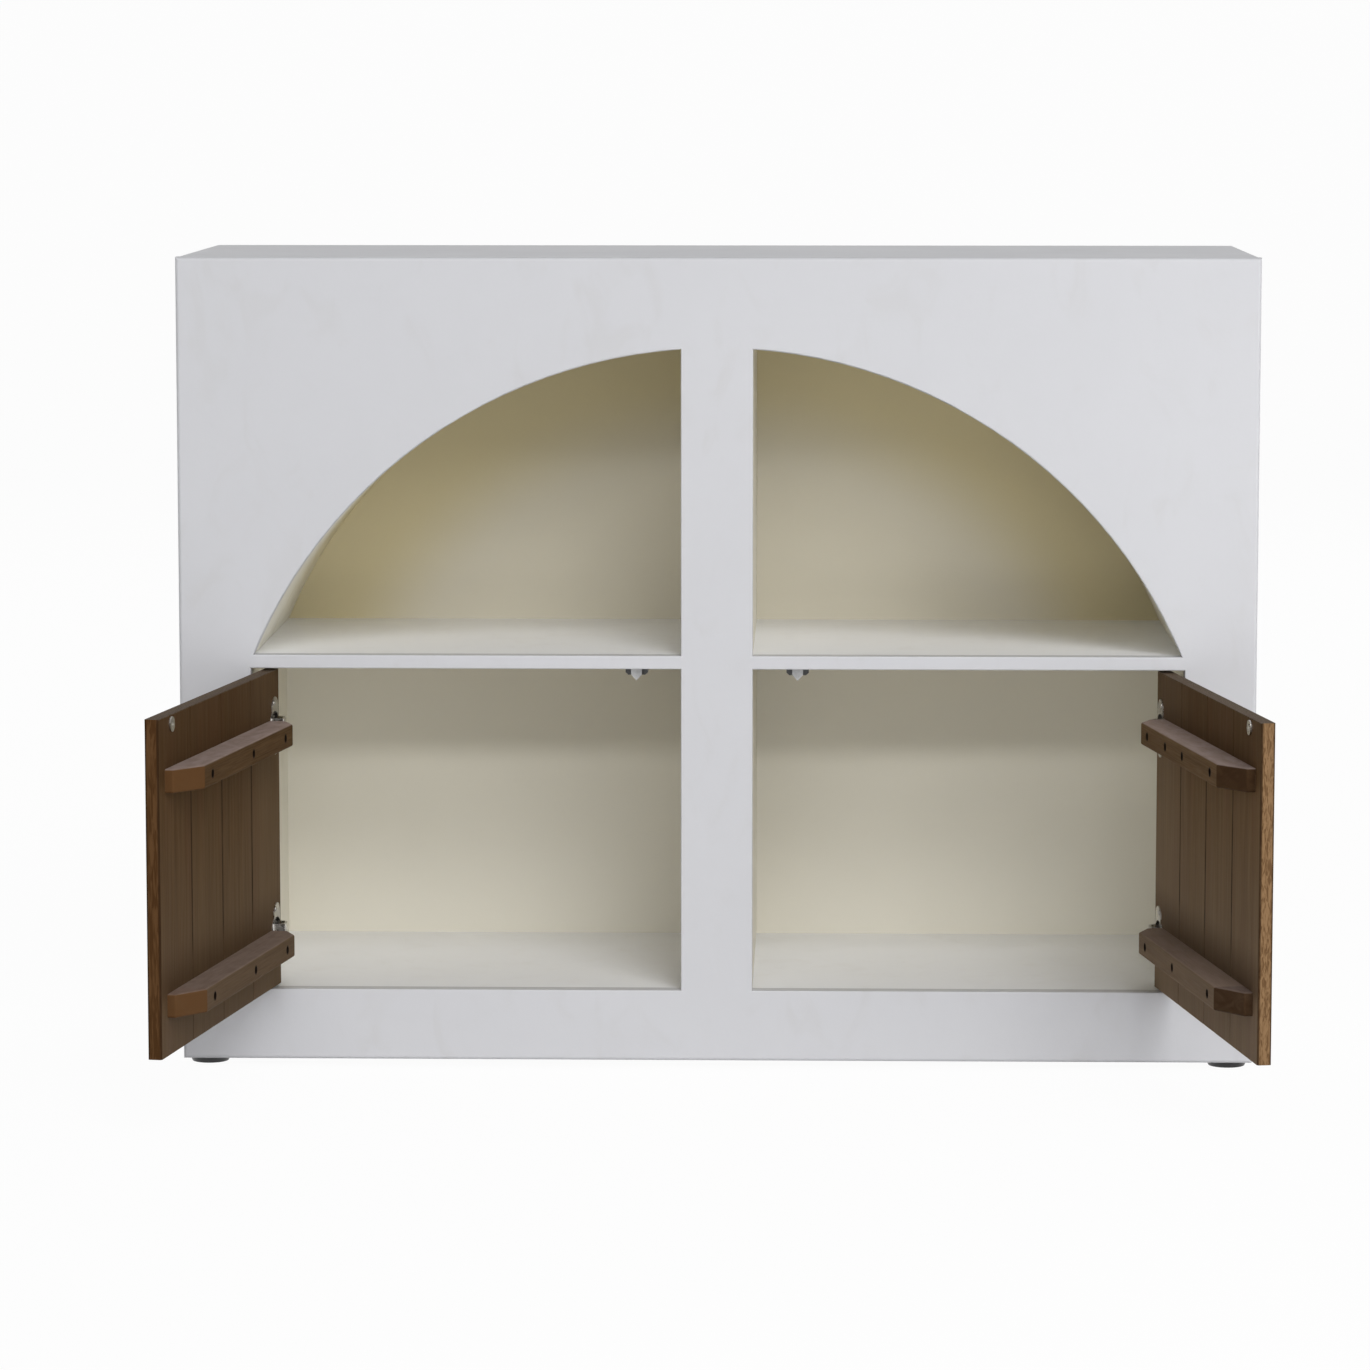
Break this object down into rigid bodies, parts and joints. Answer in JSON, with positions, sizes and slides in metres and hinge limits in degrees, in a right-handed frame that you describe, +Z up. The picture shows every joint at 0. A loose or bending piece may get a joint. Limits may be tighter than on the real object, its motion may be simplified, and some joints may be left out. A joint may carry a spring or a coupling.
{
  "type": "sideboard",
  "caption": "Thick-walled painted sideboard: a wide arch split by a centre post into open niches, above cupboards with inset plank doors on concealed hinges and push catches.",
  "frame": {"origin": "on the floor, at the middle of the whole part's box with the doors open as stored", "axes": "+X along the front to the viewer's right, +Y from the front to the back, +Z up"},
  "size_m": [1.2, 0.8426, 0.91],
  "materials": {
    "painted_board": "off-white matt paint",
    "back_board": "off-white matt paint",
    "bare_board": "bare board",
    "black_plastic": "moulded black",
    "nickel": "nickel plated",
    "steel": "zinc plated",
    "door_wood": "dark brown oiled wood",
    "batten_wood": "dark brown oiled wood"
  },
  "bodies": {
    "carcass": {"front_panel": "painted_board", "left_side_panel": "painted_board", "right_side_panel": "painted_board", "top_panel": "painted_board", "cupboard_floor": "painted_board", "left_jamb_panel": "painted_board", "right_jamb_panel": "painted_board", "left_post_panel": "painted_board", "right_post_panel": "painted_board", "left_shelf": "painted_board", "right_shelf": "painted_board", "left_arch_soffit": "painted_board", "right_arch_soffit": "painted_board", "back_panel": "back_board", "rear_base_rail": "bare_board", "middle_base_rail": "bare_board", "corner_blocks": "bare_board", "left_arch_rib": "bare_board", "right_arch_rib": "bare_board", "foot_glides": "black_plastic", "left_catch_housing": "black_plastic", "right_catch_housing": "black_plastic", "left_upper_hinge_arm": "nickel", "left_upper_hinge_plate": "nickel", "left_lower_hinge_arm": "nickel", "left_lower_hinge_plate": "nickel", "right_upper_hinge_arm": "nickel", "right_upper_hinge_plate": "nickel", "right_lower_hinge_arm": "nickel", "right_lower_hinge_plate": "nickel", "foot_screws": "steel", "hinge_plate_screws": "steel", "catch_screws": "steel"},
    "left_door": {"left_door_plank_1": "door_wood", "left_door_plank_2": "door_wood", "left_door_plank_3": "door_wood", "left_door_plank_4": "door_wood", "left_door_upper_batten": "batten_wood", "left_door_lower_batten": "batten_wood", "left_upper_hinge_cup": "nickel", "left_lower_hinge_cup": "nickel", "left_hinge_pins": "steel", "left_batten_screws": "steel", "left_fitting_screws": "steel", "left_strike_plate": "steel"},
    "right_door": {"right_door_plank_1": "door_wood", "right_door_plank_2": "door_wood", "right_door_plank_3": "door_wood", "right_door_plank_4": "door_wood", "right_door_upper_batten": "batten_wood", "right_door_lower_batten": "batten_wood", "right_upper_hinge_cup": "nickel", "right_lower_hinge_cup": "nickel", "right_hinge_pins": "steel", "right_batten_screws": "steel", "right_fitting_screws": "steel", "right_strike_plate": "steel"},
    "left_catch": {"left_catch_head": "steel"},
    "right_catch": {"right_catch_head": "steel"}
  },
  "joints": [
    {"name": "left_door_hinge", "type": "hinge", "parent": "carcass", "child": "left_door", "pos_m": [-0.5, 0.03048, 0.27125], "axis": [0, 0, -1], "range_deg": [-99.3, 5.7]},
    {"name": "right_door_hinge", "type": "hinge", "parent": "carcass", "child": "right_door", "pos_m": [0.5, 0.03048, 0.27125], "axis": [0, 0, 1], "range_deg": [-99.3, 5.7]},
    {"name": "left_catch_push", "type": "slide", "parent": "carcass", "child": "left_catch", "axis": [0, 1, 0], "range_m": [0, 0.003], "stiffness_N_per_m": 400, "springref_m": -0.002},
    {"name": "right_catch_push", "type": "slide", "parent": "carcass", "child": "right_catch", "axis": [0, 1, 0], "range_m": [0, 0.003], "stiffness_N_per_m": 400, "springref_m": -0.002}
  ]
}
